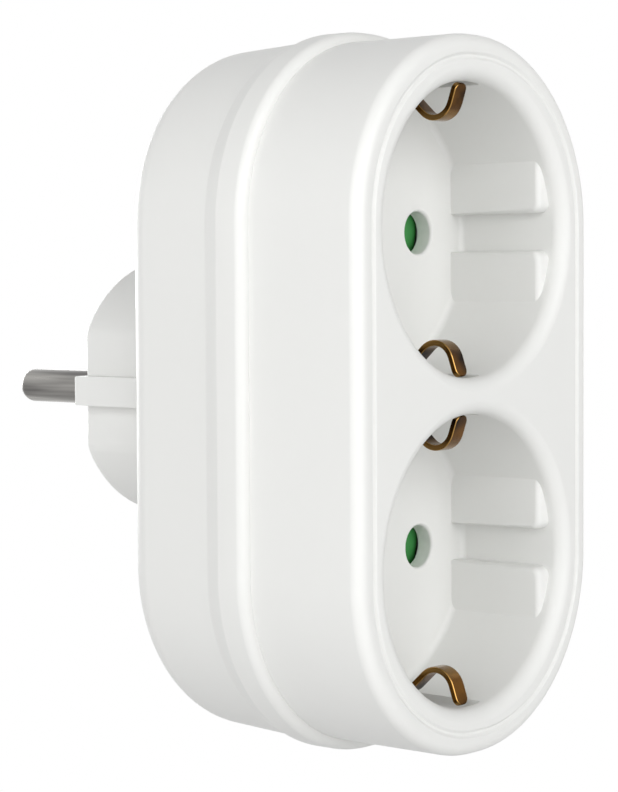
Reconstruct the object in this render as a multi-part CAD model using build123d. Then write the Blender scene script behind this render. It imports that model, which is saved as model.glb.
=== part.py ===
from build123d import *
import os
from math import cos, degrees, radians, sin, tan

# Two-way earthed socket adapter. Sizes are in millimetres.
# +Y runs from the sockets to the plug pins, and +Z is up.
# The origin is on the plug's end face, between the pins.
# Depths are counted from the front face of the sockets towards the plug.

# Standard plug and socket
recess_radius = 19.5
recess_depth = 17.5
pin_spacing = 19.0
pin_radius = 2.4
pin_length = 19.0
pin_hole_radius = 2.95
guide_flat = 17.2           # socket axis to the flat of a guide block
guide_start = 4.15          # depth at which the flat of a guide block begins, beside the notch
guide_lead = 0.72           # rise of the conical lead-in of a guide block, for each millimetre outwards
guide_notch = 5.2           # height of the notch between two guide blocks
earth_reach = 14.5          # socket axis to the crest of an earth spring
plug_radius = 18.3
plug_flat_cut = 1.9         # plug's round to the flat on either side
plug_rib_rise = 0.6         # guide rib beyond the plug's round
plug_rib_height = 4.6
plug_length = 16.5
earth_inset = 1.9           # plug's round to the face of an earth contact

# Outline and visible edges
socket_pitch = 43.8
border = 5.25               # recess wall to the outline's corners
end_flat = 1.6              # straight stretch across the top and the bottom of the outline
side_stretch = 1.6          # straight stretch of the sides beyond the socket pitch
collar_wall = 1.25
collar_step = 0.8
rear_taper = 0.8
front_rounding = 1.3
rim_rounding = 2.1
back_rounding = 4.6
collar_rounding = 0.9
collar_dip_rounding = 1.6
nose_rounding = 0.8
guide_rounding = 0.6
guide_corner = 1.4          # rounding between a guide block's lead-in and its notch
hole_rounding = 0.5
line_inset = 2.95           # outline to the decorative line on the front face
line_width = 1.0            # at the front face
line_floor = 0.3            # at the bottom of the line
line_depth = 0.45

# Walls and gaps
front_wall = 2.2
shell_wall = 2.0
cup_wall = 1.8
floor_wall = 2.5
back_wall = 2.5
plug_end_wall = 3.0
skirt_reach = 3.0           # cover floor to the cover's rear rim
collar_overlap = 4.9        # how far the cover reaches into the collar
collar_length = 6.9
collar_flat = 4.4
joint_gap = 0.15
press_gap = 0.02
slide_gap = 0.2
pivot_gap = 0.05
drill_room = 1.0            # a drill's run beyond either face of a sheet
touch = 0.001               # how near an edge lies to the plane it is looked for in

# Earth springs, and the openings in the cover for them
strip = 0.8
spring_width = 2.3
spring_root = 18.2          # socket axis to the middle of the strip where it passes the floor
spring_crest_depth = 6.8
spring_tip_reach = 19.4
spring_front_slope = 71.0   # degrees from the socket axis, in front of the crest and behind it
spring_back_slope = 43.0
crest_bend = 2.8
root_bend = 2.0
tip_rounding = 1.0          # free end of an earth spring
fold_radius = 1.2
window_width = 8.0
window_room = 0.5           # beyond the crest and the root of a spring
pocket_width = 6.4
pocket_room = 0.7           # behind the tip of the spring
pocket_start = 2.4

# Shutters and their carriers
shutter_thickness = 2.0
shutter_radius = 13.0
shutter_half_angle = 21.0
shutter_hub = 4.0
shutter_ramp = 1.1
pivot_radius = 2.0
spring_room = 1.1
wire = 0.5
wire_loop = 4.7
wire_reach = 8.6
wire_gap_angle = 60.0
peg_radius = 0.55
peg_orbit = 7.2
carrier_thickness = 1.4
carrier_margin = 0.1        # carrier beyond its shutter and its pin holes
carrier_hole = 3.4
post_radius = 1.5
post_inset = 0.2            # carrier's edge to a spacer post
post_angle = 112.0

# Contacts, bars and rivets
bar = 0.8
bar_width = 6.0
bar_overhang = 3.2
clip = 0.6
clip_grip = 0.2             # how much closer the leaves stand than the pin is thick, on either side
clip_mouth = 1.9            # carrier to the mouth of a contact clip
clip_throat = 2.6
clip_flare = 1.3
clip_base = 3.4
strap = 1.0
strap_width = 5.0
strap_notch_width = 7.0
strap_set_back = 1.2
hollow_wall = 1.6           # plug wall under an earth contact
rivet_radius = 0.9
rivet_head = 1.4
rivet_head_height = 0.7
tower_radius = 4.4
shank_radius = 2.1          # pin inside the plug body
tail_radius = 1.5
tail_head = 2.8
tail_head_height = 0.9
pin_rounding = 1.7
tip_room = 0.5              # behind the tip of a pin in a socket
link_width = 4.0
link_half = 3.4
link_margin = 0.7           # flange beyond its rivet

# Screws
screw_x = 13.0
screw_z = 12.2              # beyond the socket axis
screw_radius = 1.5
screw_length = 11.0
screw_head = 2.8
screw_head_height = 2.1
screw_well_depth = 7.2
cover_boss = 3.1
rear_boss = 4.1
boss_seat = 3.0
cross_width = 0.8
cross_length = 3.2
cross_depth = 1.1

# Depths that follow
floor_back = recess_depth + floor_wall
cover_depth = floor_back + skirt_reach
collar_front = cover_depth - collar_overlap
shutter_front = floor_back + slide_gap
shutter_back = shutter_front + shutter_thickness
carrier_front = shutter_back + spring_room
carrier_back = carrier_front + carrier_thickness
bracket_back = carrier_back + strip
bar_front = recess_depth + pin_length + tip_room + clip
bar_back = bar_front + bar
body_depth = bar_back + back_wall
nose = body_depth + plug_length
hollow_end = nose - plug_end_wall
strap_front = bar_back - strap
screw_seat = body_depth - screw_well_depth
boss_meet = screw_seat - boss_seat

# Radii and places that follow
front_y = -nose
axis_z = {"upper": socket_pitch / 2, "lower": -socket_pitch / 2}
pin_x = {"left": -pin_spacing / 2, "right": pin_spacing / 2}
cover_radius = recess_radius + border
collar_radius = cover_radius + joint_gap + collar_wall
rear_radius = collar_radius - collar_step
back_radius = rear_radius - rear_taper
groove_radius = cover_radius - line_inset
plug_flat = plug_radius - plug_flat_cut
plug_rib_reach = plug_radius + plug_rib_rise
earth_contact = plug_radius - earth_inset
spring_crest = earth_reach + strip / 2
window_start = earth_reach - window_room
window_end = spring_root + strip / 2 + window_room
pocket_end = spring_tip_reach + strip / 2 + pocket_room
strap_line = earth_contact - strap / 2
hollow_radius = earth_contact - strap - hollow_wall
rivet_reach = spring_root - fold_radius - rivet_head
link_rivet = socket_pitch / 2 - rivet_reach
link_flange = link_rivet + rivet_head + link_margin
carrier_radius = max(shutter_radius, pin_spacing / 2 + carrier_hole) + carrier_margin
post_orbit = carrier_radius - post_inset - post_radius
peg_turn = degrees((wire / 2 + peg_radius + press_gap) / peg_orbit)
moving_peg = -90 + wire_gap_angle / 2 - peg_turn
fixed_peg = -90 - wire_gap_angle / 2 + peg_turn
screw_places = [(x, z + side * screw_z) for x in (-screw_x, screw_x) for z, side in
                ((axis_z["upper"], 1), (axis_z["lower"], -1))]


def rod(radius, start, end, x=0, z=0):
    """Round bar between two depths."""
    return Pos(x, front_y + (start + end) / 2, z) * Cylinder(radius, end - start, rotation=(90, 0, 0))


def slab(width, start, end, low, high, x=0):
    """Block between two depths and two heights, centred on x."""
    return Pos(x, front_y + (start + end) / 2, (low + high) / 2) * Box(width, end - start, high - low)


def at_depth(drawing, depth):
    """A drawing in x and z, placed at a depth."""
    return Plane.XZ.offset(-front_y - depth) * drawing


def prism(drawing, start, end):
    """A drawing in x and z, carried from one depth to another."""
    return extrude(at_depth(drawing, end), end - start)


def outline(radius):
    """Rounded outline of the body, by the radius of its corners."""
    return RectangleRounded(end_flat + 2 * radius, socket_pitch + side_stretch + 2 * radius, radius)


def tapered(start_radius, start, end_radius, end):
    """The body's outline, carried between two depths with a change of size."""
    ends = ((start_radius, start), (end_radius, end))
    return loft([at_depth(outline(radius), depth).face() for radius, depth in ends], ruled=True)


def edges_at(solid, depth):
    """Edges of a solid that lie wholly at one depth."""
    return solid.edges().filter_by_position(Axis.Y, front_y + depth - touch, front_y + depth + touch)


def well(radius, mouth_rounding, mouth, bottom, x=0, z=0):
    """Round cutter with a flared, rounded mouth."""
    top, start, end = front_y + mouth, front_y + mouth + mouth_rounding, front_y + bottom
    wall = Polyline((radius, start), (radius, end), (0, end), (0, top), (radius + mouth_rounding, top))
    lip = RadiusArc((radius + mouth_rounding, top), (radius, start), mouth_rounding)
    return Pos(x, 0, z) * revolve(make_face([*wall.edges(), lip]), Axis.Y)


def folded(points, radii, thickness, width, x=0, z=0):
    """Folded strip of sheet metal that follows (depth, height) points."""
    line = FilletPolyline(*[(front_y + d, h) for d, h in points], radius=radii)
    return Pos(x, 0, z) * extrude(Plane.YZ * trace(line, thickness), width / 2, both=True)


def polar(radius, angle):
    """Point in x and z at an angle from +X, seen from the front."""
    return radius * cos(radians(angle)), radius * sin(radians(angle))


def rivet(start, end, x, z):
    """Rivet through a stack of sheets, with a flat round head on either side."""
    first, last = start - rivet_head_height, end + rivet_head_height
    heads = [rod(rivet_head, first, start, x, z), rod(rivet_head, end, last, x, z)]
    return rod(rivet_radius, first, last, x, z) + heads


def drilled(sheet, start, end, radius, places):
    """A sheet with round holes at (x, z) places."""
    return sheet - [rod(radius, start - drill_room, end + drill_room, x, z) for x, z in places]


def guide_blocks(z):
    """Two pairs of guide blocks, on the left and right of a socket, each pair with a notch between."""
    reach = recess_radius + cup_wall / 2
    section = [(guide_flat, guide_start), (reach, guide_start - guide_lead * (reach - guide_flat)),
               (reach, floor_back), (guide_flat, floor_back)]
    drawing = make_face(Polyline(*[(r, front_y + d) for r, d in section], close=True).edges())
    side = slab(reach - guide_flat, 0, floor_back, z - reach, z + reach, (guide_flat + reach) / 2)
    pair = Pos(0, 0, z) * revolve(drawing, Axis.Y) & side
    pair -= slab(2 * reach, 0, floor_back, z - guide_notch / 2, z + guide_notch / 2)
    lead_ins = pair.faces().filter_by(GeomType.CONE)
    notches = pair.faces().filter_by(Axis.Z)
    pair = fillet([edge for edge in lead_ins.edges() if edge in notches.edges()], guide_corner)
    flats = pair.edges().filter_by_position(Axis.X, guide_flat - touch, guide_flat + touch)
    pair = fillet([edge for edge in flats if edge.center().Y < front_y + recess_depth], guide_rounding)
    return pair + mirror(pair, Plane.YZ)


def front_cover():
    """Moulded cover: flank, front panel and the two socket cups."""
    shell = prism(outline(cover_radius), 0, cover_depth)
    shell = fillet(edges_at(shell, 0), front_rounding)
    shell -= prism(outline(cover_radius - shell_wall), front_wall, cover_depth)
    shell -= (tapered(groove_radius + line_width / 2, 0, groove_radius + line_floor / 2, line_depth)
              - tapered(groove_radius - line_width / 2, 0, groove_radius - line_floor / 2, line_depth))
    web = socket_pitch / 2 - recess_radius
    shell += slab(recess_radius, front_wall / 2, floor_back, -web, web)
    for z in axis_z.values():
        shell += rod(recess_radius + cup_wall, front_wall / 2, floor_back, z=z)
    for x, z in screw_places:
        shell += rod(cover_boss, recess_depth + floor_wall / 2, boss_meet, x, z)
        shell -= rod(screw_radius + press_gap, floor_back + floor_wall, boss_meet, x, z)
    for z in axis_z.values():
        shell -= well(recess_radius, rim_rounding, 0, recess_depth, z=z)
        shell += guide_blocks(z)
        for x in pin_x.values():
            shell -= well(pin_hole_radius, hole_rounding, recess_depth, floor_back, x, z)
        for side in (1, -1):
            window = sorted((z + side * window_start, z + side * window_end))
            pocket = sorted((z + side * window_start, z + side * pocket_end))
            shell -= slab(window_width, recess_depth - floor_wall, floor_back, *window)
            shell -= slab(pocket_width, pocket_start, recess_depth, *pocket)
    return shell


def rear_housing():
    """Moulded rear half: collar, back box and the plug body with its end wall."""
    collar_end = collar_front + collar_length
    collar = prism(outline(collar_radius), collar_front, collar_front + collar_flat)
    blend = tapered(collar_radius, collar_front + collar_flat, rear_radius, collar_end)
    box = tapered(rear_radius, collar_end, back_radius, body_depth)
    shell = collar + blend + box
    shell = fillet(edges_at(shell, collar_front), collar_rounding)
    shell = fillet(edges_at(shell, collar_front + collar_flat), collar_dip_rounding)
    shell = fillet(edges_at(shell, collar_end), collar_dip_rounding)
    shell = fillet(edges_at(shell, body_depth), back_rounding)
    shell -= prism(outline(cover_radius + joint_gap), collar_front, cover_depth)
    shell -= tapered(rear_radius - shell_wall, cover_depth, back_radius - shell_wall, bar_back)
    shell += plug_body()
    shell -= rod(hollow_radius, bar_back, hollow_end)
    for x in pin_x.values():
        shell += rod(tower_radius, bar_back, hollow_end + plug_end_wall / 2, x)
        shell -= rod(shank_radius + press_gap, bar_back, nose, x)
        for z in axis_z.values():
            shell -= rod(rivet_head + slide_gap, bar_back, bar_back + rivet_head_height + slide_gap, x, z)
    for side in (1, -1):
        slot = sorted((side * (strap_line - strap - slide_gap), side * (earth_contact + slide_gap)))
        shell -= slab(strap_width + 2 * slide_gap, bar_back, body_depth, *slot)
    for x, z in screw_places:
        shell += rod(rear_boss, boss_meet, bar_back + back_wall / 2, x, z)
        shell -= rod(screw_head + slide_gap, screw_seat, body_depth, x, z)
        shell -= rod(screw_radius + slide_gap, boss_meet, screw_seat, x, z)
    return shell


def plug_body():
    """Plug body: round, with a flat and a guide rib on either side and a notch for each earth contact."""
    shape = Circle(plug_radius) & Rectangle(2 * plug_flat, 2 * plug_radius)
    shape += Rectangle(2 * plug_rib_reach, plug_rib_height)
    for side in (1, -1):
        notch_top = Pos(0, side * (earth_contact - strap + plug_radius / 2))
        shape -= notch_top * Rectangle(strap_notch_width, plug_radius)
    body = prism(shape, bar_back + back_wall / 2, nose)
    return fillet(edges_at(body, nose), nose_rounding)


def plug_pin(x):
    """Solid plug pin with a rounded tip, a shank in the plug body, and a tail riveted over its bar."""
    pin = fillet(edges_at(rod(pin_radius, nose, nose + pin_length, x), nose + pin_length), pin_rounding)
    pin += rod(shank_radius, bar_back, nose, x)
    pin += rod(tail_radius, bar_front, bar_back, x)
    return pin + rod(tail_head, bar_front - tail_head_height, bar_front, x)


def pole_bar(x):
    """Brass bar that joins a plug pin to the contacts of both sockets."""
    shape = Pos(x, 0) * SlotOverall(socket_pitch + 2 * bar_overhang, bar_width, rotation=90)
    sheet = drilled(prism(shape, bar_front, bar_back), bar_front, bar_back, tail_radius + press_gap, [(x, 0)])
    rivets = [(x, z) for z in axis_z.values()]
    return drilled(sheet, bar_front, bar_back, rivet_radius + press_gap, rivets)


def contact_clip(x, z):
    """Folded brass clip whose two leaves grip a pin from above and below."""
    leaf = pin_radius - clip_grip + clip / 2
    mouth = carrier_back + clip_mouth
    half = [(mouth, leaf + clip_flare), (mouth + clip_throat, leaf), (bar_front - clip / 2, clip_base)]
    points = half + [(d, -h) for d, h in reversed(half)]
    sheet = folded(points, [clip_throat, clip, clip, clip_throat], clip, bar_width, x, z)
    return drilled(sheet, bar_front - clip, bar_front, rivet_radius + press_gap, [(x, z)])


def earth_bracket(z):
    """Folded bronze strip: a base behind the socket and an earth spring at the top and at the bottom."""
    front, back = radians(spring_front_slope), radians(spring_back_slope)
    leg = crest_bend * tan((front + back) / 2)
    corner_depth = spring_crest_depth - crest_bend * sin(front) + leg * cos(front)
    corner_reach = spring_crest + crest_bend * (1 - cos(front)) - leg * sin(front)
    tip_depth = corner_depth - (spring_tip_reach - corner_reach) / tan(front)
    root_depth = corner_depth + (spring_root - corner_reach) / tan(back)
    half = [(tip_depth, spring_tip_reach), (corner_depth, corner_reach), (root_depth, spring_root),
            (carrier_back + strip / 2, spring_root)]
    points = half + [(d, -h) for d, h in reversed(half)]
    bends = [crest_bend, root_bend, fold_radius]
    sheet = folded(points, bends + bends[::-1], strip, spring_width, z=z)
    tips = [edge for end in sheet.faces().sort_by(Axis.Y)[:2] for edge in end.edges()]
    sheet = fillet([edge for edge in tips if edge.length < spring_width / 2], tip_rounding)
    inner = -1 if z > 0 else 1
    return drilled(sheet, carrier_back, bracket_back, rivet_radius + press_gap, [(0, -inner * link_rivet)])


def earth_link():
    """Folded strip that joins both brackets to the plug's earth strap."""
    line_back, line_front = strap_front - strip / 2, bracket_back + strip / 2
    half = [(line_front, link_flange), (line_front, link_half), (line_back, link_half)]
    points = half + [(d, -h) for d, h in reversed(half)]
    sheet = folded(points, [fold_radius] * 4, strip, link_width)
    sheet = drilled(sheet, bracket_back, bracket_back + strip, rivet_radius + press_gap,
                    [(0, link_rivet), (0, -link_rivet)])
    return drilled(sheet, strap_front - strip, strap_front, rivet_radius + press_gap, [(0, 0)])


def plug_earth_strap():
    """Strap across the back box whose two legs are the earth contacts of the plug."""
    half = [(nose - strap_set_back, strap_line), (bar_back - strap / 2, strap_line)]
    points = half + [(d, -h) for d, h in reversed(half)]
    sheet = folded(points, [strap, strap], strap, strap_width)
    return drilled(sheet, strap_front, bar_back, rivet_radius + press_gap, [(0, 0)])


def shutter(z):
    """Turning safety shutter: a hub and two wings with a ramp that the pins push aside."""
    edge = 2 * shutter_radius
    wedge = [(0, 0), polar(edge, -shutter_half_angle), polar(edge, shutter_half_angle)]
    wing = make_face(Polyline(*wedge, close=True).edges()) & Circle(shutter_radius)
    wings = wing + mirror(wing, Plane.YZ)
    half_height = shutter_radius * sin(radians(shutter_half_angle))
    slope = [(shutter_front, -half_height), (shutter_front, half_height),
             (shutter_front + shutter_ramp, -half_height)]
    ramp = make_face(Polyline(*[(front_y + d, h) for d, h in slope], close=True).edges())
    cut = extrude(Plane.YZ.offset(shutter_hub) * ramp, shutter_radius)
    body = prism(wings, shutter_front, shutter_back) - cut - Rot(0, 180, 0) * cut
    arm = Rot(0, 0, moving_peg) * Pos(peg_orbit / 2, 0) * Rectangle(peg_orbit + 4 * peg_radius, 4 * peg_radius)
    body += prism(arm, shutter_front, shutter_back)
    body += rod(shutter_hub, shutter_front, carrier_front - slide_gap)
    body += rod(peg_radius, shutter_front, carrier_front - slide_gap, *polar(peg_orbit, moving_peg))
    body -= rod(pivot_radius + pivot_gap, floor_back, carrier_front)
    return Pos(0, 0, z) * body


def shutter_spring(z):
    """Flat C-shaped return spring round the shutter's hub, with two legs that bear on the pegs."""
    first, last = -90 + wire_gap_angle / 2, 270 - wire_gap_angle / 2
    loop = CenterArc((0, 0), wire_loop, first, last - first)
    legs = [Line(polar(wire_loop, a), polar(wire_reach, a)) for a in (first, last)]
    middle = (shutter_back + carrier_front) / 2
    return Pos(0, 0, z) * prism(trace([loop, *legs], wire), middle - wire / 2, middle + wire / 2)


def shutter_carrier(z):
    """Plate behind a shutter with its pivot, two spacer posts and the fixed peg of the return spring."""
    plate = rod(carrier_radius, carrier_front, carrier_back)
    plate -= [rod(carrier_hole, carrier_front, carrier_back, x) for x in pin_x.values()]
    for z_rivet in (rivet_reach, -rivet_reach):
        plate -= rod(rivet_head + slide_gap, carrier_front, carrier_back, 0, z_rivet)
    plate += rod(pivot_radius, floor_back, carrier_front)
    for angle in (post_angle, post_angle + 180):
        plate += rod(post_radius, floor_back, carrier_front, *polar(post_orbit, angle))
    plate += rod(peg_radius, shutter_back + slide_gap, carrier_front, *polar(peg_orbit, fixed_peg))
    return Pos(0, 0, z) * plate


def housing_screw(x, z):
    """Cross-head screw that draws the rear housing against the cover."""
    head_top = screw_seat + screw_head_height
    head = fillet(edges_at(rod(screw_head, screw_seat, head_top, x, z), head_top), screw_head_height / 3)
    for cross in (Rectangle(cross_width, cross_length), Rectangle(cross_length, cross_width)):
        head -= prism(Pos(x, z) * cross, head_top - cross_depth, head_top)
    return head + rod(screw_radius, screw_seat - screw_length, screw_seat, x, z)


nodes = {
    "front_cover": [front_cover()],
    "rear_housing": [rear_housing()],
    "plug_earth_strap": [plug_earth_strap()],
    "earth_link": [earth_link()],
    "housing_screws": [housing_screw(x, z) for x, z in screw_places],
    "contact_rivets": [rivet(bar_front - clip, bar_back, x, z)
                       for x in pin_x.values() for z in axis_z.values()],
    "earth_rivets": [rivet(strap_front - strip, bar_back, 0, 0)]
    + [rivet(carrier_back, bracket_back + strip, 0, z) for z in (link_rivet, -link_rivet)],
}
for side, x in pin_x.items():
    nodes[f"plug_pin_{side}"] = [plug_pin(x)]
    nodes[f"pole_bar_{side}"] = [pole_bar(x)]
for level, z in axis_z.items():
    nodes[f"{level}_earth_bracket"] = [earth_bracket(z)]
    nodes[f"{level}_shutter"] = [shutter(z)]
    nodes[f"{level}_shutter_spring"] = [shutter_spring(z)]
    nodes[f"{level}_shutter_carrier"] = [shutter_carrier(z)]
    for side, x in pin_x.items():
        nodes[f"{level}_contact_clip_{side}"] = [contact_clip(x, z)]

os.makedirs("parts", exist_ok=True)
for name, pieces in nodes.items():
    solids = [solid for piece in pieces for solid in piece.solids()]
    export_step(solids[0] if len(solids) == 1 else Compound(children=solids), f"parts/{name}.step")
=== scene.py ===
from math import ceil, cos, degrees, hypot, pi, radians, sin, sqrt, tan

import bmesh
import bpy
from mathutils import Matrix, Vector


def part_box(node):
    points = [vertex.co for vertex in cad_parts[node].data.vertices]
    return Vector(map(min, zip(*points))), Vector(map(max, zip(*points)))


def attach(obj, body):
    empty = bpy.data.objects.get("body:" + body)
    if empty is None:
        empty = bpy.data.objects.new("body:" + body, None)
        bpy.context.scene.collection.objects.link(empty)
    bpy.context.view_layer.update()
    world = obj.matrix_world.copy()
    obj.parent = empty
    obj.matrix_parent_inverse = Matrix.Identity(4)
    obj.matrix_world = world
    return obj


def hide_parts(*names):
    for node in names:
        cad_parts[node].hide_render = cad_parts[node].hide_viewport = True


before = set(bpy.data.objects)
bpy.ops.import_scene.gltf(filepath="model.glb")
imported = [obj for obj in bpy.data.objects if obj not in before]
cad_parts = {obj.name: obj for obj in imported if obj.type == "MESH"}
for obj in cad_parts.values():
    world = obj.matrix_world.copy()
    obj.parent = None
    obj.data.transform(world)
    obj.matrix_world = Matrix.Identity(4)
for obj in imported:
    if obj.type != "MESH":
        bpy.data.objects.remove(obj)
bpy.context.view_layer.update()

# Rear housing: the half that faces the wall, one glossy white moulding of thermoset plastic.
# The raised collar, the back box and the plug body come out of one mould,
# and the collar takes the front cover.
mm = 0.001
cover_low, cover_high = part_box("front_cover")
rear_low, rear_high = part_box("rear_housing")
front_y = cover_low.y
corner_x = 0.8
corner_z = 22.7
cover_radius = cover_high.x / mm - corner_x
collar_radius = rear_high.x / mm - corner_x
collar_step = 0.8
rear_taper = 0.8
rear_radius = collar_radius - collar_step
back_radius = rear_radius - rear_taper
shell_wall = 2.0
joint_gap = 0.15
lip_gap = 0.01
lip_depth = 0.5
collar_front = (rear_low.y - front_y) / mm
collar_flat = 4.4
collar_length = 6.9
collar_rounding = 1.3
dip_rounding = 1.6
cover_overlap = 4.9
cover_rim = collar_front + cover_overlap
inner_back = 38.4
back_face = 40.9
back_rounding = 4.6
back_flat_inset = 1.5 * back_rounding
nose = (rear_high.y - front_y) / mm
outline_steps = 256
round_steps = 192
small_steps = 64
arc_step = 10
merge = 0.002 * mm
near = 0.001 * mm


def rounded(corners):
    """A line through (radius, depth, rounding) corners, in millimetres, with an arc at each rounded one."""
    points = [Vector(corners[0][:2])]
    for before, corner, after in zip(corners, corners[1:], corners[2:]):
        point, rounding = Vector(corner[:2]), corner[2]
        back = (Vector(before[:2]) - point).normalized()
        ahead = (Vector(after[:2]) - point).normalized()
        turn = pi - back.angle(ahead)
        centre = point + (back + ahead).normalized() * rounding / cos(turn / 2)
        start = point + back * rounding * tan(turn / 2) - centre
        end = point + ahead * rounding * tan(turn / 2) - centre
        side = 1 if start.x * end.y > start.y * end.x else -1
        steps = ceil(degrees(turn) / arc_step) if rounding else 0
        for step in range(steps + 1):
            share = step / steps if steps else 0
            points.append(centre + Matrix.Rotation(side * turn * share, 2) @ start)
    return points + [Vector(corners[-1][:2])]


def alone(piece):
    """Selects one piece and nothing else, and makes it the active one."""
    bpy.ops.object.select_all(action="DESELECT")
    bpy.context.view_layer.objects.active = piece
    piece.select_set(True)


def placed(name):
    """Names the piece that was added last and puts its place into its mesh."""
    piece = bpy.context.object
    piece.name = name
    bpy.ops.object.transform_apply(location=True, rotation=True, scale=True)
    return piece


def shaped(piece):
    """Opens a piece for editing with nothing else selected."""
    alone(piece)
    bpy.ops.object.mode_set(mode="EDIT")
    bpy.ops.mesh.select_mode(type="VERT")
    return bmesh.from_edit_mesh(piece.data)


def closed(piece):
    """Ends the editing of a piece with its doubles merged and its faces turned outwards."""
    bpy.ops.mesh.select_all(action="SELECT")
    bpy.ops.mesh.remove_doubles(threshold=merge)
    bpy.ops.mesh.normals_make_consistent(inside=False)
    bpy.ops.object.mode_set(mode="OBJECT")
    return piece


def extrude(x, y, z):
    """Draws what is selected out by a step in millimetres."""
    bpy.ops.mesh.extrude_region_move(TRANSFORM_OT_translate={"value": (x * mm, y * mm, z * mm)})


def ring_solid(name, corners, middle=(0, 0), spread=(0, 0), steps=round_steps):
    """A solid along a profile whose depths count from the front, round or with its corners spread apart."""
    rings = rounded(corners)
    start = (middle[0] * mm, front_y + rings[0].y * mm, middle[1] * mm)
    bpy.ops.object.select_all(action="DESELECT")
    bpy.ops.mesh.primitive_circle_add(vertices=steps, radius=rings[0].x * mm, fill_type="NGON",
                                      location=start, rotation=(pi / 2, pi / steps, 0))
    piece = placed(name)
    sides = [(x, z) for x in (1, -1) for z in (1, -1)] if any(spread) else [(0, 0)]
    centres = [((middle[0] + x * spread[0]) * mm, (middle[1] + z * spread[1]) * mm) for x, z in sides]

    def choose(ring_face, side):
        """Selects the stretch of a ring that goes round one of its corners."""
        bpy.ops.mesh.select_all(action="DESELECT")
        for vert in ring_face.verts:
            if (vert.co.x - start[0]) * side[0] >= 0 and (vert.co.z - start[2]) * side[1] >= 0:
                vert.select_set(True)

    mesh = shaped(piece)
    mesh.faces.ensure_lookup_table()
    cap = mesh.faces[0]
    for side in sides:
        choose(cap, side)
        bpy.ops.transform.translate(value=(side[0] * spread[0] * mm, 0, side[1] * spread[1] * mm))
    cap.select_set(True)
    for ring, following in zip(rings, rings[1:]):
        extrude(0, following.y - ring.y, 0)
        mesh = bmesh.from_edit_mesh(piece.data)
        cap = [face for face in mesh.faces if face.select][0]
        scale = following.x / ring.x
        for side, centre in zip(sides, centres):
            choose(cap, side)
            bpy.ops.transform.resize(value=(scale, 1, scale),
                                     center_override=(centre[0], front_y + following.y * mm, centre[1]))
        bpy.ops.mesh.select_all(action="DESELECT")
        cap.select_set(True)
    return closed(piece)


def together(pieces):
    """Several solids as one object."""
    bpy.ops.object.select_all(action="DESELECT")
    for piece in pieces:
        piece.select_set(True)
    bpy.context.view_layer.objects.active = pieces[0]
    bpy.ops.object.join()
    return pieces[0]


def combine(piece, pieces, operation):
    """Joins solids to a piece or cuts them from it."""
    tool = together(pieces)
    alone(piece)
    step = piece.modifiers.new(operation, "BOOLEAN")
    step.operation = operation
    step.solver = "EXACT"
    step.object = tool
    bpy.ops.object.modifier_apply(modifier=step.name)
    bpy.data.objects.remove(tool)


def finished(piece, angle):
    """Smooth faces with creases at the edges that turn by more than an angle, and flat faces kept flat."""
    alone(piece)
    bpy.ops.object.shade_smooth_by_angle(angle=radians(angle))
    weights = piece.modifiers.new("flat_faces", "WEIGHTED_NORMAL")
    weights.keep_sharp = True
    bpy.ops.object.modifier_apply(modifier=weights.name)


rear_housing = ring_solid("rear_housing_moulding", [
    (back_radius - shell_wall, inner_back, 0),
    (rear_radius - shell_wall, cover_rim, 0),
    (cover_radius + joint_gap, cover_rim, 0),
    (cover_radius + joint_gap, collar_front + lip_depth, 0),
    (cover_radius + lip_gap, collar_front + lip_depth, 0),
    (cover_radius + lip_gap, collar_front, 0),
    (collar_radius, collar_front, collar_rounding),
    (collar_radius, collar_front + collar_flat, dip_rounding),
    (rear_radius, collar_front + collar_length, dip_rounding),
    (back_radius, back_face, back_rounding),
    (back_radius - back_flat_inset, back_face, 0),
], spread=(corner_x, corner_z), steps=outline_steps)

# The plug body stands on the back box: round, with a flat and a guide rib on either side.
plug_radius = 18.3
plug_flat = 16.4
flat_half = sqrt(plug_radius ** 2 - plug_flat ** 2)
root_clearance = 1.2
plug_root = inner_back + root_clearance
rib_rise = 2.5
rib_half = 2.05
nose_rounding = 0.8
flat_blend = 0.8
blend_clearance = 1.2 * flat_blend
rounding_steps = 6
normal_square = 0.99
end_y = front_y + nose * mm


def pick(piece, kind, wanted):
    """Selects the vertices, edges or faces of an opened piece that pass a test, and nothing else."""
    bpy.ops.mesh.select_all(action="DESELECT")
    bpy.ops.mesh.select_mode(type=kind)
    mesh = bmesh.from_edit_mesh(piece.data)
    for part in {"VERT": mesh.verts, "EDGE": mesh.edges, "FACE": mesh.faces}[kind]:
        if wanted(part):
            part.select_set(True)


def at_corner(vert):
    """A corner of the plug's outline, where a flat meets the round."""
    return abs(abs(vert.co.x) - plug_flat * mm) < near


def beside_corner(vert):
    """A point of the round that gives way to the blend of a corner."""
    away = hypot(abs(vert.co.x) - plug_flat * mm, abs(vert.co.z) - flat_half * mm)
    return not at_corner(vert) and away < blend_clearance * mm


def at_nose(edge):
    """An edge that goes round the plug's end face."""
    at_end = all(abs(vert.co.y - end_y) < near for vert in edge.verts)
    return at_end and sum(face.normal.y > normal_square for face in edge.link_faces) == 1


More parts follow.
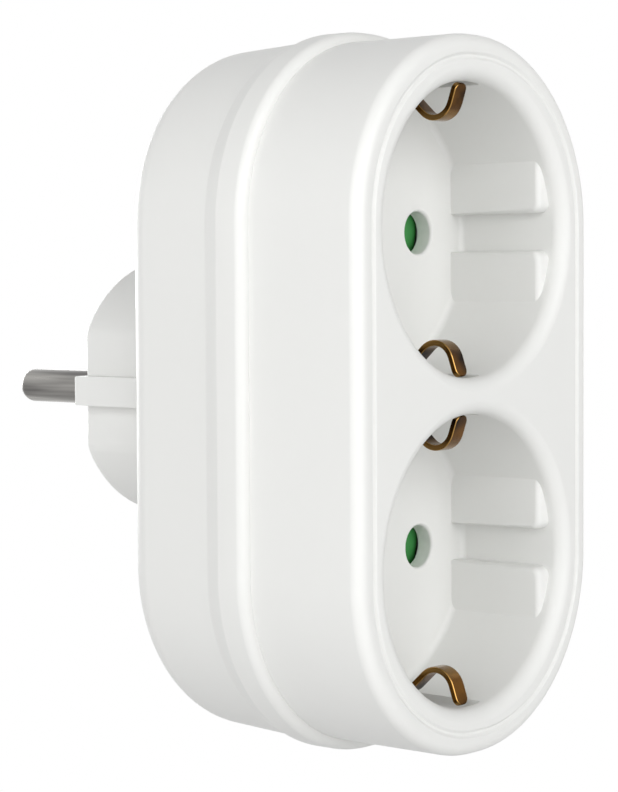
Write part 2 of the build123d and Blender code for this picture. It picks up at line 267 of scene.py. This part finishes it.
bpy.ops.object.select_all(action="DESELECT")
bpy.ops.mesh.primitive_circle_add(vertices=round_steps, radius=plug_radius * mm, fill_type="NGON",
                                  location=(0, front_y + plug_root * mm, 0),
                                  rotation=(pi / 2, pi / round_steps, 0))
plug = placed("plug_body")
shaped(plug)
for side in (1, -1):
    bpy.ops.mesh.select_all(action="SELECT")
    bpy.ops.mesh.bisect(plane_co=(side * plug_flat * mm, 0, 0), plane_no=(side, 0, 0), clear_outer=True)
pick(plug, "VERT", beside_corner)
bpy.ops.mesh.dissolve_verts()
pick(plug, "VERT", at_corner)
bpy.ops.mesh.bevel(offset=flat_blend * mm, segments=rounding_steps, affect="VERTICES")
for height in (rib_half, -rib_half):
    bpy.ops.mesh.select_all(action="SELECT")
    bpy.ops.mesh.bisect(plane_co=(0, 0, height * mm), plane_no=(0, 0, 1))
bpy.ops.mesh.select_all(action="SELECT")
extrude(0, nose - plug_root, 0)
bpy.ops.mesh.select_all(action="SELECT")
bpy.ops.mesh.normals_make_consistent(inside=False)
for side in (1, -1):
    pick(plug, "FACE", lambda face: face.normal.x * side > normal_square
         and abs(face.calc_center_median().z) < rib_half * mm)
    extrude(side * rib_rise, 0, 0)
pick(plug, "EDGE", at_nose)
bpy.ops.mesh.bevel(offset=nose_rounding * mm, segments=rounding_steps, affect="EDGES")
closed(plug)
combine(rear_housing, [plug], "UNION")

# Inside it are a hollow with a tower for each pin, and outside a notch and a slot for each earth contact.
pin_x = 9.5
pin_places = [(pin_x, 0), (-pin_x, 0)]
hollow_radius = 13.8
end_wall = 3.0
tower_radius = 4.4
bore_radius = 2.12
notch_half = 3.5
notch_floor = 15.4
slot_half = 2.7
slot_low = 14.7
slot_high = 16.6
block_edge_steps = 4
overrun = 1.0
skim = 0.02


def rod(radius, start, end):
    """The profile of a plain rod between two depths."""
    return [(radius, start, 0), (radius, end, 0)]


def at_each(places, name, corners, steps=small_steps):
    """Solids with one profile, one at each (x, z) place."""
    return [ring_solid(name, corners, place, steps=steps) for place in places]


def block(name, low, high, edge=0):
    """A block between two (x, depth, z) corners in millimetres, with its edges rounded."""
    size = [(b - a) * mm for a, b in zip(low, high)]
    x, depth, z = [(a + b) / 2 * mm for a, b in zip(low, high)]
    bpy.ops.object.select_all(action="DESELECT")
    bpy.ops.mesh.primitive_cube_add(size=1, location=(x, front_y + depth, z), scale=size)
    piece = placed(name)
    if edge:
        shaped(piece)
        bpy.ops.mesh.select_all(action="SELECT")
        bpy.ops.mesh.bevel(offset=edge * mm, segments=block_edge_steps, affect="EDGES")
        closed(piece)
    return piece


hollow = ring_solid("plug_hollow", rod(hollow_radius, inner_back - overrun, nose - end_wall))
combine(rear_housing, [hollow], "DIFFERENCE")
towers = at_each(pin_places, "pin_tower", rod(tower_radius, inner_back, nose - end_wall / 2))
combine(rear_housing, towers, "UNION")
bores = at_each(pin_places, "pin_bore", rod(bore_radius, inner_back - overrun, nose + overrun))
combine(rear_housing, bores, "DIFFERENCE")
for side in (1, -1):
    low, high = sorted((side * notch_floor, side * (plug_radius + overrun)))
    notch = block("earth_notch", (-notch_half, back_face - skim, low), (notch_half, nose + overrun, high))
    low, high = sorted((side * slot_low, side * slot_high))
    slot = block("strap_slot", (-slot_half, inner_back - overrun, low), (slot_half, back_face + skim, high))
    combine(rear_housing, [notch], "DIFFERENCE")
    combine(rear_housing, [slot], "DIFFERENCE")

# Four bosses take the screws, whose heads lie in round wells in the rear face.
screw_x = 13.0
screw_z = 34.1
screw_places = [(x, z) for x in (screw_x, -screw_x) for z in (screw_z, -screw_z)]
boss_radius = 4.1
boss_front = 30.7
screw_seat = 33.7
shank_room = 1.7
well_radius = 3.0
well_rounding = 0.4
crease = 22
bosses = at_each(screw_places, "screw_boss", rod(boss_radius, boss_front, inner_back + overrun))
combine(rear_housing, bosses, "UNION")
wells = at_each(screw_places, "screw_well", [
    (shank_room, boss_front - overrun, 0),
    (shank_room, screw_seat, 0),
    (well_radius, screw_seat, 0),
    (well_radius, back_face + skim, well_rounding),
    (well_radius + overrun, back_face + skim, 0),
    (well_radius + overrun, back_face + overrun, 0),
])
combine(rear_housing, wells, "DIFFERENCE")
finished(rear_housing, crease)

# Its finish has two near shades of white in soft clouds, and a faint ripple from the mould.
grain_share = 0.25
ripple_height = 0.1 * mm
mix_first = 6
mix_second = 7
mix_result = 2


def feed(tree, value, socket):
    """Links a socket to a node's output, or sets it to a number or a colour."""
    if isinstance(value, bpy.types.NodeSocket):
        tree.links.new(value, socket)
    elif isinstance(value, tuple):
        socket.default_value = (*value, 1)
    else:
        socket.default_value = value


def node_group(name, outputs, inputs):
    """An empty shader group with named sockets for numbers."""
    group = bpy.data.node_groups.new(name, "ShaderNodeTree")
    for socket in outputs:
        group.interface.new_socket(socket, in_out="OUTPUT", socket_type="NodeSocketFloat")
    for socket, value in inputs.items():
        item = group.interface.new_socket(socket, in_out="INPUT", socket_type="NodeSocketFloat")
        item.default_value = value
    return group, group.nodes.new("NodeGroupInput"), group.nodes.new("NodeGroupOutput")


def noise_node(tree, place, scale, detail):
    """A noise pattern over a place."""
    node = tree.nodes.new("ShaderNodeTexNoise")
    for socket, value in (("Vector", place), ("Scale", scale), ("Detail", detail)):
        feed(tree, value, node.inputs[socket])
    return node.outputs["Fac"]


def math_node(tree, operation, *values):
    """A calculation with sockets and numbers."""
    node = tree.nodes.new("ShaderNodeMath")
    node.operation = operation
    for socket, value in zip(node.inputs, values):
        feed(tree, value, socket)
    return node.outputs[0]


def range_node(tree, value, low, high, start=0, end=1):
    """A socket's range, carried over to another range."""
    node = tree.nodes.new("ShaderNodeMapRange")
    feed(tree, value, node.inputs["Value"])
    for socket, number in (("From Min", low), ("From Max", high), ("To Min", start), ("To Max", end)):
        feed(tree, number, node.inputs[socket])
    return node.outputs["Result"]


def shade_node(tree, share, first, second):
    """A mix of two colours, by the numbers of the Mix node's colour sockets."""
    node = tree.nodes.new("ShaderNodeMix")
    node.data_type = "RGBA"
    for socket, value in ((0, share), (mix_first, first), (mix_second, second)):
        feed(tree, value, node.inputs[socket])
    return node.outputs[mix_result]


def relief_node(tree, height, strength, distance):
    """A relief in the skin of a piece."""
    node = tree.nodes.new("ShaderNodeBump")
    for socket, value in (("Height", height), ("Strength", strength), ("Distance", distance)):
        feed(tree, value, node.inputs[socket])
    return node.outputs["Normal"]


def surfaced(name, group):
    """A new material with its node tree, its shader and a surface group."""
    material = bpy.data.materials.new(name)
    material.use_nodes = True
    tree = material.node_tree
    surface = tree.nodes.new("ShaderNodeGroup")
    surface.node_tree = group
    return material, tree, tree.nodes["Principled BSDF"], surface


moulding, taken, given = node_group(
    "moulded_surface", ["Cloud", "Height"], {"Cloud Scale": 40.0, "Grain Scale": 900.0})
place = moulding.nodes.new("ShaderNodeTexCoord").outputs["Object"]
cloud = noise_node(moulding, place, taken.outputs["Cloud Scale"], detail=2)
grain = noise_node(moulding, place, taken.outputs["Grain Scale"], detail=1)
feed(moulding, cloud, given.inputs["Cloud"])
feed(moulding, math_node(moulding, "MULTIPLY_ADD", grain, grain_share, cloud), given.inputs["Height"])


def plastic(name, light, dark, smooth, dull, bump):
    """Moulded plastic: two shades in soft clouds, a gloss that wanders a little and a rippled skin."""
    material, tree, shader, surface = surfaced(name, moulding)
    shader.inputs["Specular IOR Level"].default_value = 0.35
    cloud = surface.outputs["Cloud"]
    feed(tree, shade_node(tree, cloud, dark, light), shader.inputs["Base Color"])
    feed(tree, range_node(tree, cloud, 0, 1, smooth, dull), shader.inputs["Roughness"])
    feed(tree, relief_node(tree, surface.outputs["Height"], bump, ripple_height), shader.inputs["Normal"])
    return material


white_plastic = plastic("white_plastic", light=(0.82, 0.822, 0.804), dark=(0.80, 0.803, 0.785),
                        smooth=0.32, dull=0.42, bump=0.06)
rear_housing.data.materials.append(white_plastic)
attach(rear_housing, "housing")
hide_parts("rear_housing")

# Plug pins: turned from brass rod and plated with satin nickel, with a rounded tip.
# The shank passes through the plug's end wall, and the tail is riveted over its bar inside.
pin_radius = 2.4
pin_rounding = 1.7
tip_flat_inset = 1.3 * pin_rounding
shank_radius = 2.1
tail_radius = 1.5
tail_head = 2.8
tail_head_height = 0.9
bar_thickness = 0.8
bar_front = inner_back - bar_thickness
pin_steps = 96
pin_tip = (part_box("plug_pin_left")[1].y - front_y) / mm
streak_scale = 100
mark_height = 0.05 * mm
shade_range = (0.35, 0.65)
gloss_range = (0.3, 0.7)

metalwork, taken, given = node_group(
    "worked_metal", ["Streak", "Tarnish"],
    {"Across X": 1.0, "Across Y": 1.0, "Across Z": 1.0, "Spots": 200.0})
place = metalwork.nodes.new("ShaderNodeTexCoord").outputs["Object"]
stretch = metalwork.nodes.new("ShaderNodeCombineXYZ")
for axis in "XYZ":
    feed(metalwork, taken.outputs["Across " + axis], stretch.inputs[axis])
drawn_out = metalwork.nodes.new("ShaderNodeVectorMath")
drawn_out.operation = "MULTIPLY"
feed(metalwork, place, drawn_out.inputs[0])
feed(metalwork, stretch.outputs[0], drawn_out.inputs[1])
streak = noise_node(metalwork, drawn_out.outputs[0], streak_scale, detail=3)
tarnish = noise_node(metalwork, place, taken.outputs["Spots"], detail=4)
feed(metalwork, streak, given.inputs["Streak"])
feed(metalwork, tarnish, given.inputs["Tarnish"])


def metal(name, clean, tarnished, smooth, dull, across, spots, bump, shades="Tarnish"):
    """Bare or plated metal: two shades in spots or streaks, and streaks in its gloss and skin."""
    material, tree, shader, surface = surfaced(name, metalwork)
    shader.inputs["Metallic"].default_value = 1
    for axis, value in zip("XYZ", across):
        surface.inputs["Across " + axis].default_value = value
    surface.inputs["Spots"].default_value = spots
    streak = surface.outputs["Streak"]
    share = range_node(tree, surface.outputs[shades], *shade_range)
    feed(tree, shade_node(tree, share, clean, tarnished), shader.inputs["Base Color"])
    feed(tree, range_node(tree, streak, *gloss_range, smooth, dull), shader.inputs["Roughness"])
    feed(tree, relief_node(tree, streak, bump, mark_height), shader.inputs["Normal"])
    return material


def dressed(node, material):
    """Gives a CAD node its finish."""
    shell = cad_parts[node].data
    shell.materials.clear()
    shell.materials.append(material)


nickel_plate = metal("nickel_plate", clean=(0.40, 0.39, 0.37), tarnished=(0.14, 0.135, 0.13), smooth=0.24,
                     dull=0.36, across=(5, 0.3, 5), spots=150, bump=0.08, shades="Streak")
for side, x in (("left", -pin_x), ("right", pin_x)):
    pin = ring_solid(f"turned_pin_{side}", [
        (tail_head, bar_front - tail_head_height, 0),
        (tail_head, bar_front, 0),
        (tail_radius, bar_front, 0),
        (tail_radius, inner_back, 0),
        (shank_radius, inner_back, 0),
        (shank_radius, nose, 0),
        (pin_radius, nose, 0),
        (pin_radius, pin_tip, pin_rounding),
        (pin_radius - tip_flat_inset, pin_tip, 0),
    ], (x, 0), steps=pin_steps)
    finished(pin, crease)
    pin.data.materials.append(nickel_plate)
    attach(pin, "housing")
    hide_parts(f"plug_pin_{side}")

# Live and neutral bars with their contact clips: stamped and folded brass sheet.
# Each bar is held by the tail of its plug pin, and a rivet fixes a clip at either end behind a socket.
brass_sheet = metal("brass_sheet", clean=(0.62, 0.44, 0.17), tarnished=(0.46, 0.31, 0.11), smooth=0.22,
                    dull=0.38, across=(6, 6, 1), spots=120, bump=0.1)
levels = ("upper", "lower")
for hand in ("left", "right"):
    dressed(f"pole_bar_{hand}", brass_sheet)
    for level in levels:
        dressed(f"{level}_contact_clip_{hand}", brass_sheet)
dressed("contact_rivets", brass_sheet)

# Plug earth strap: nickel-plated strip bent to a U, whose legs are the earth contacts of the plug.
# It crosses the back box behind the bars, and a rivet ties the brass earth link to its middle.
dressed("plug_earth_strap", nickel_plate)
dressed("earth_link", brass_sheet)
dressed("earth_rivets", brass_sheet)

# Earth brackets: tarnished phosphor bronze strip, folded to a base with an earth spring at either end.
# The springs come out through windows in the socket's floor and bulge towards the plug, with their tips
# tucked into the wall, and the base is riveted to the earth link.
socket_z = 21.9
sockets = (socket_z, -socket_z)
strip = 0.8
strip_width = 2.5
strip_edge = 0.18
strip_edge_steps = 3
strip_edge_angle = 50
strip_crease = 35
tip_rounding = 1.0
crest_depth = 6.8
earth_reach = 14.5
crest_bend = 2.8
root_bend = 2.0
fold_radius = 1.2
front_slope = radians(71)
back_slope = radians(43)
tip_reach = 19.4
root_reach = 18.2
base_depth = (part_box("upper_earth_bracket")[1].y - front_y) / mm - strip / 2

# The crest of a spring is rubbed bright by the plugs and also carries a painted glint; the bright edges of
# the strip are a painted highlight.
rubbed_and_highlight_bronze = (0.58, 0.34, 0.11)
crest_rub_and_glint = 0.35
rub_start = earth_reach + 1.5
rub_full = earth_reach + 0.5
edge_highlight = 0.7
edge_turn = (0.1, 0.4)
side_turn = (0.75, 0.95)
dark_bronze = metal("dark_bronze", clean=(0.14, 0.060, 0.009), tarnished=(0.006, 0.002, 0.001), smooth=0.12,
                    dull=0.24, across=(9, 2, 2), spots=220, bump=0.12)
tree = dark_bronze.node_tree
coordinates = tree.nodes.new("ShaderNodeTexCoord")
position = tree.nodes.new("ShaderNodeSeparateXYZ")
facing = tree.nodes.new("ShaderNodeSeparateXYZ")
feed(tree, coordinates.outputs["Object"], position.inputs[0])
feed(tree, coordinates.outputs["Normal"], facing.inputs[0])
above = math_node(tree, "SUBTRACT", math_node(tree, "ABSOLUTE", position.outputs["Z"]), socket_z * mm)
from_axis = math_node(tree, "ABSOLUTE", above)
# Crest: real rub from the plugs together with a painted glint, brightest where the spring comes nearest the
# socket's axis.
crest_wear_and_glint = range_node(tree, from_axis, rub_start * mm, rub_full * mm, end=crest_rub_and_glint)
# Edges: a painted highlight on the bevels, picked by which way their faces turn.
sideways = math_node(tree, "ABSOLUTE", facing.outputs["X"])
edge_highlight_mask = math_node(tree, "MULTIPLY", range_node(tree, sideways, *edge_turn),
                      range_node(tree, sideways, *side_turn, edge_highlight, 0))
wear_and_highlight = math_node(tree, "MAXIMUM", crest_wear_and_glint, edge_highlight_mask)
bronze_colour = tree.nodes["Principled BSDF"].inputs["Base Color"]
strip_shade = bronze_colour.links[0].from_socket
# The strip's colour turns to bright bronze under the crest's rub and painted glint and under the painted edge
# highlight.
feed(tree, shade_node(tree, wear_and_highlight, strip_shade, rubbed_and_highlight_bronze), bronze_colour)

leg = crest_bend * tan((front_slope + back_slope) / 2)
corner_depth = crest_depth - crest_bend * sin(front_slope) + leg * cos(front_slope)
corner_reach = earth_reach + strip / 2 + crest_bend * (1 - cos(front_slope)) - leg * sin(front_slope)
half_strip = [
    (tip_reach, corner_depth - (tip_reach - corner_reach) / tan(front_slope), 0),
    (corner_reach, corner_depth, crest_bend),
    (root_reach, corner_depth + (root_reach - corner_reach) / tan(back_slope), root_bend),
    (root_reach, base_depth, fold_radius),
]
line = rounded(half_strip + [(-reach, depth, bend) for reach, depth, bend in reversed(half_strip)])
for level, z in zip(levels, sockets):
    start = Vector((0, front_y + line[0].y * mm, (z + line[0].x) * mm))
    bpy.ops.object.select_all(action="DESELECT")
    bpy.ops.mesh.primitive_plane_add(size=strip_width * mm, location=start)
    spring = placed(f"{level}_earth_springs")
    shaped(spring)
    bpy.ops.mesh.select_all(action="SELECT")
    bpy.ops.transform.resize(value=(1, 0, 1), center_override=start)
    bpy.ops.mesh.remove_doubles(threshold=merge)
    for before, after in zip(line, line[1:]):
        extrude(0, after.y - before.y, after.x - before.x)
    pick(spring, "VERT", lambda vert: abs(vert.co.y - start.y) < near)
    bpy.ops.mesh.bevel(offset=tip_rounding * mm, segments=rounding_steps, affect="VERTICES")
    closed(spring)
    sheet = spring.modifiers.new("sheet", "SOLIDIFY")
    sheet.thickness = strip * mm
    sheet.offset = 0
    bpy.ops.object.modifier_apply(modifier=sheet.name)
    edges = spring.modifiers.new("edges", "BEVEL")
    edges.width = strip_edge * mm
    edges.segments = strip_edge_steps
    edges.angle_limit = radians(strip_edge_angle)
    bpy.ops.object.modifier_apply(modifier=edges.name)
    finished(spring, strip_crease)
    spring.data.materials.append(dark_bronze)
    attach(spring, "housing")
    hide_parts(f"{level}_earth_bracket")

# Shutters: satin green mouldings that close the pin holes, with ramps on which two pins push them aside.
# Each turns on the pivot of a grey carrier plate behind it, and a flat steel spring brings it back.
green_plastic = plastic("green_plastic", light=(0.06, 0.29, 0.075), dark=(0.045, 0.24, 0.06),
                        smooth=0.30, dull=0.42, bump=0.1)
grey_plastic = plastic("grey_plastic", light=(0.52, 0.52, 0.50), dark=(0.46, 0.46, 0.44),
                       smooth=0.38, dull=0.5, bump=0.1)
spring_steel = metal("spring_steel", clean=(0.52, 0.52, 0.52), tarnished=(0.42, 0.42, 0.42), smooth=0.2,
                     dull=0.32, across=(4, 4, 4), spots=200, bump=0.08)
for level in levels:
    dressed(f"{level}_shutter", green_plastic)
    dressed(f"{level}_shutter_carrier", grey_plastic)
    dressed(f"{level}_shutter_spring", spring_steel)

# Front cover: the other glossy white moulding, with the flank, the front panel and both socket cups.
# It slides into the collar of the rear housing and is drawn home by the screws.
recess_radius = 19.5
recess_depth = 17.5
floor_back = 20.0
rim_rounding = 2.1
foot_rounding = 0.9
cup_wall = 1.8
front_wall = 2.2
edge_rounding = 1.7
skirt_rounding = 0.3
groove_inset = 2.95
groove_radius = cover_radius - groove_inset
groove_half = 0.5
groove_floor = 0.15
groove_depth = 0.36
groove_rounding = 0.2
front_cover = ring_solid("front_cover_moulding", [
    (cover_radius - shell_wall, front_wall, 0),
    (cover_radius - shell_wall, cover_rim, skirt_rounding),
    (cover_radius, cover_rim, skirt_rounding),
    (cover_radius, 0, edge_rounding),
    (groove_radius + groove_half, 0, groove_rounding),
    (groove_radius + groove_floor, groove_depth, groove_floor),
    (groove_radius - groove_floor, groove_depth, groove_floor),
    (groove_radius - groove_half, 0, groove_rounding),
    (groove_radius - 2 * groove_half, 0, 0),
], spread=(corner_x, corner_z), steps=outline_steps)

# Behind the panel are the cups' walls, a web between them and the posts that the screws are driven into.
web_wide = 9.75
web_tall = 2.4
post_radius = 3.1
post_front = (recess_depth + floor_back) / 2
thread_radius = 1.52
thread_start = 22.5
cup_places = [(0, z) for z in sockets]
cups = at_each(cup_places, "cup_wall", rod(recess_radius + cup_wall, front_wall / 2, floor_back), round_steps)
combine(front_cover, cups, "UNION")
web = block("web", (-web_wide, front_wall / 2, -web_tall), (web_wide, floor_back, web_tall))
combine(front_cover, [web], "UNION")
posts = at_each(screw_places, "screw_post", rod(post_radius, post_front, boss_front))
combine(front_cover, posts, "UNION")
threads = at_each(screw_places, "screw_hole", rod(thread_radius, thread_start, boss_front + overrun))
combine(front_cover, threads, "DIFFERENCE")
recesses = at_each(cup_places, "recess", [
    (recess_radius + rim_rounding + overrun, -overrun, 0),
    (recess_radius + rim_rounding + overrun, -skim, 0),
    (recess_radius, -skim, rim_rounding),
    (recess_radius, recess_depth, foot_rounding),
    (recess_radius - overrun, recess_depth, 0),
], round_steps)
combine(front_cover, recesses, "DIFFERENCE")

# Four guide blocks stand on the wall of each cup, one above and one below a notch on either side.
# Their front ends are nearly flat, and rounded off beside the notch.
guide_flat = 16.95
guide_start = 2.45
guide_lead = 0.06
guide_notch = 5.2
guide_corner = 1.4
guide_corner_steps = 6
guide_rounding = 0.8
guide_rounding_steps = 5
guide_reach = recess_radius + cup_wall / 2
guide_end = 9.9
guide_steps = 12
normal_turned = 0.1
quarter = [pi / 2 * step / guide_corner_steps for step in range(guide_corner_steps + 1)]
stations = [guide_notch / 2 + guide_corner * (1 - cos(turn)) for turn in quarter]
straight_step = (guide_end - stations[-1]) / guide_steps
stations += [stations[-1] + straight_step * step for step in range(1, guide_steps + 1)]


def guide_front(z):
    """Front edge of a guide block at a height: (x, depth) on its flat and in the cup's wall."""
    short = max(guide_corner - (z - guide_notch / 2), 0)
    lead = guide_start + guide_corner - sqrt(guide_corner ** 2 - short ** 2)
    edge = [guide_flat, sqrt(guide_reach ** 2 - z ** 2)]
    return [(x, lead - guide_lead * (x - guide_flat)) for x in edge]


def round_flat(edge):
    """An edge of a guide block's flat, at its front end or beside the notch."""
    normals = sorted((face.normal for face in edge.link_faces), key=lambda normal: normal.x)
    beside_flat = normals[0].x < -normal_square < normals[1].x
    return beside_flat and (normals[1].y < -normal_turned or normals[1].z < -normal_turned)


bpy.ops.object.select_all(action="DESELECT")
bpy.ops.mesh.primitive_plane_add(size=mm, location=(0, 0, stations[0] * mm))
first_guide = placed("first_guide")
mesh = shaped(first_guide)
mesh.faces.ensure_lookup_table()
cap = mesh.faces[0]
for before, z in zip([stations[0]] + stations, stations):
    if z > before:
        bpy.ops.mesh.select_all(action="DESELECT")
        cap.select_set(True)
        extrude(0, 0, z - before)
        mesh = bmesh.from_edit_mesh(first_guide.data)
        cap = [face for face in mesh.faces if face.select][0]
    flat, wall = guide_front(z)
    across = sorted(cap.verts, key=lambda vert: vert.co.x)
    for pair, x, front in ((across[:2], *flat), (across[2:], *wall)):
        for vert, depth in zip(sorted(pair, key=lambda vert: vert.co.y), (front, floor_back)):
            bpy.ops.mesh.select_all(action="DESELECT")
            vert.select_set(True)
            bpy.ops.transform.translate(value=(x * mm - vert.co.x, front_y + depth * mm - vert.co.y, 0))
closed(first_guide)
shaped(first_guide)
pick(first_guide, "FACE", lambda face: face.normal.x < -normal_square)
bpy.ops.mesh.dissolve_faces()
pick(first_guide, "EDGE", round_flat)
bpy.ops.mesh.bevel(offset=guide_rounding * mm, segments=guide_rounding_steps, affect="EDGES")
closed(first_guide)
guides = []
for x in (1, -1):
    for socket in sockets:
        for z in (1, -1):
            alone(first_guide)
            bpy.ops.object.duplicate()
            bpy.context.object.scale = (x, 1, z)
            bpy.context.object.location = (0, 0, socket * mm)
            guide = placed("guide")
            shaped(guide)
            guides.append(closed(guide))
bpy.data.objects.remove(first_guide)
combine(front_cover, guides, "UNION")

# The floors have two pin holes each, and a window and a pocket in the wall for each earth spring.
pin_hole = 2.95
hole_rounding = 0.5
hole_places = [(x, z) for x in (pin_x, -pin_x) for z in sockets]
window_half = 4.0
window_room = 0.5
window_start = earth_reach - window_room
window_end = root_reach + strip / 2 + window_room
pocket_half = 3.2
pocket_room = 0.7
pocket_start = 2.4
pocket_end = tip_reach + strip / 2 + pocket_room
pocket_rounding = 0.4
holes = at_each(hole_places, "pin_hole", [
    (pin_hole + overrun, recess_depth - overrun, 0),
    (pin_hole + overrun, recess_depth - skim, 0),
    (pin_hole, recess_depth - skim, hole_rounding),
    (pin_hole, floor_back + overrun, 0),
], pin_steps)
combine(front_cover, holes, "DIFFERENCE")
windows, pockets = [], []
for z in sockets:
    for side in (1, -1):
        low, high = sorted((z + side * window_start, z + side * window_end))
        windows.append(block("window", (-window_half, recess_depth - overrun, low),
                             (window_half, floor_back + overrun, high)))
        low, high = sorted((z + side * window_start, z + side * pocket_end))
        pockets.append(block("pocket", (-pocket_half, pocket_start, low),
                             (pocket_half, recess_depth + pocket_rounding, high), pocket_rounding))
combine(front_cover, windows, "DIFFERENCE")
combine(front_cover, pockets, "DIFFERENCE")
finished(front_cover, crease)
front_cover.data.materials.append(white_plastic)
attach(front_cover, "housing")
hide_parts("front_cover")

# Housing screws: four zinc-plated steel screws with a cross recess.
# They are driven from behind, through the wells of the rear housing into the posts of the front cover.
zinc_steel = metal("zinc_steel", clean=(0.56, 0.56, 0.54), tarnished=(0.45, 0.45, 0.43), smooth=0.22,
                   dull=0.36, across=(3, 3, 3), spots=250, bump=0.1)
dressed("housing_screws", zinc_steel)

# Studio: a plain white floor that fades into a white surround, a soft box on either side of the camera
# and a low one behind the part. The part hangs a little above the floor, as it would in an outlet,
# and the camera stands where the photograph's did.
floor_size = 8
floor_drop = 40 * mm
shadow_reach = 0.05
glow_reach = 0.12
shadow_glow = 0.5
surround_light = 0.24
part_middle = Vector((0, front_y / 2, 0))


def in_view(tree):
    """One for rays that show the background to the camera, in metal or through glass."""
    rays = tree.nodes.new("ShaderNodeLightPath")
    mirrored = math_node(tree, "MAXIMUM", rays.outputs["Is Glossy Ray"], rays.outputs["Is Transmission Ray"])
    return math_node(tree, "MAXIMUM", rays.outputs["Is Camera Ray"], mirrored)


bpy.ops.object.select_all(action="DESELECT")
bpy.ops.mesh.primitive_plane_add(size=floor_size, location=(0, 0, rear_low.z - floor_drop))
floor = bpy.context.object
floor.name = "floor"
paper = bpy.data.materials.new("paper_floor")
paper.use_nodes = True
tree = paper.node_tree
tree.nodes.remove(tree.nodes["Principled BSDF"])
matt = tree.nodes.new("ShaderNodeBsdfDiffuse")
matt.inputs["Color"].default_value = (0.9, 0.9, 0.9, 1)
glow = tree.nodes.new("ShaderNodeEmission")
coordinates = tree.nodes.new("ShaderNodeTexCoord")
reach = tree.nodes.new("ShaderNodeVectorMath")
reach.operation = "LENGTH"
mix = tree.nodes.new("ShaderNodeMixShader")
feed(tree, coordinates.outputs["Object"], reach.inputs[0])
fade = range_node(tree, reach.outputs["Value"], shadow_reach, glow_reach, start=shadow_glow)
feed(tree, math_node(tree, "MULTIPLY", in_view(tree), fade), mix.inputs[0])
feed(tree, matt.outputs[0], mix.inputs[1])
feed(tree, glow.outputs[0], mix.inputs[2])
feed(tree, mix.outputs[0], tree.nodes["Material Output"].inputs["Surface"])
floor.data.materials.append(paper)

world = bpy.data.worlds.new("studio")
bpy.context.scene.world = world
world.use_nodes = True
tree = world.node_tree
surround = tree.nodes["Background"]
surround.inputs["Color"].default_value = (1, 1, 1, 1)
feed(tree, range_node(tree, in_view(tree), 0, 1, start=surround_light), surround.inputs["Strength"])

view_yaw = radians(49.871)
view_pitch = radians(2.884)
view_roll = radians(-0.310)
camera_place = Vector((-247.252 * mm, front_y - 178.832 * mm, 15.523 * mm))
ahead = Vector((sin(view_yaw) * cos(view_pitch), cos(view_yaw) * cos(view_pitch), -sin(view_pitch)))
level_right = Vector((cos(view_yaw), -sin(view_yaw), 0))
upright = level_right.cross(ahead)
right = level_right * cos(view_roll) + upright * sin(view_roll)
up = upright * cos(view_roll) - level_right * sin(view_roll)
lens = bpy.data.cameras.new("camera")
lens.lens = 105.28
lens.sensor_width = 36
lens.clip_start = 0.01
camera = bpy.data.objects.new("camera", lens)
camera.matrix_world = Matrix((right, up, -ahead)).transposed().to_4x4()
camera.location = camera_place
bpy.context.scene.collection.objects.link(camera)
bpy.context.scene.camera = camera
bpy.context.scene.view_settings.view_transform = "Standard"


def soft_box(name, azimuth, height, distance, width, tall, power):
    """A soft box that faces the part, by its azimuth from the camera's side and its height in degrees."""
    box = bpy.data.lights.new(name, "AREA")
    box.shape = "RECTANGLE"
    box.size = width
    box.size_y = tall
    box.energy = power
    turn = view_yaw + radians(azimuth)
    rise = radians(height)
    toward = Vector((-sin(turn) * cos(rise), -cos(turn) * cos(rise), sin(rise)))
    lamp = bpy.data.objects.new(name, box)
    lamp.rotation_euler = toward.to_track_quat("Z", "Y").to_euler()
    lamp.location = part_middle + toward * distance
    bpy.context.scene.collection.objects.link(lamp)


soft_box("front_soft_box", azimuth=-36, height=12, distance=0.95, width=1.05, tall=0.9, power=7.3)
soft_box("side_soft_box", azimuth=34, height=3, distance=0.95, width=1.0, tall=1.1, power=8.4)
soft_box("back_soft_box", azimuth=155, height=4, distance=0.95, width=0.9, tall=0.3, power=4.0)
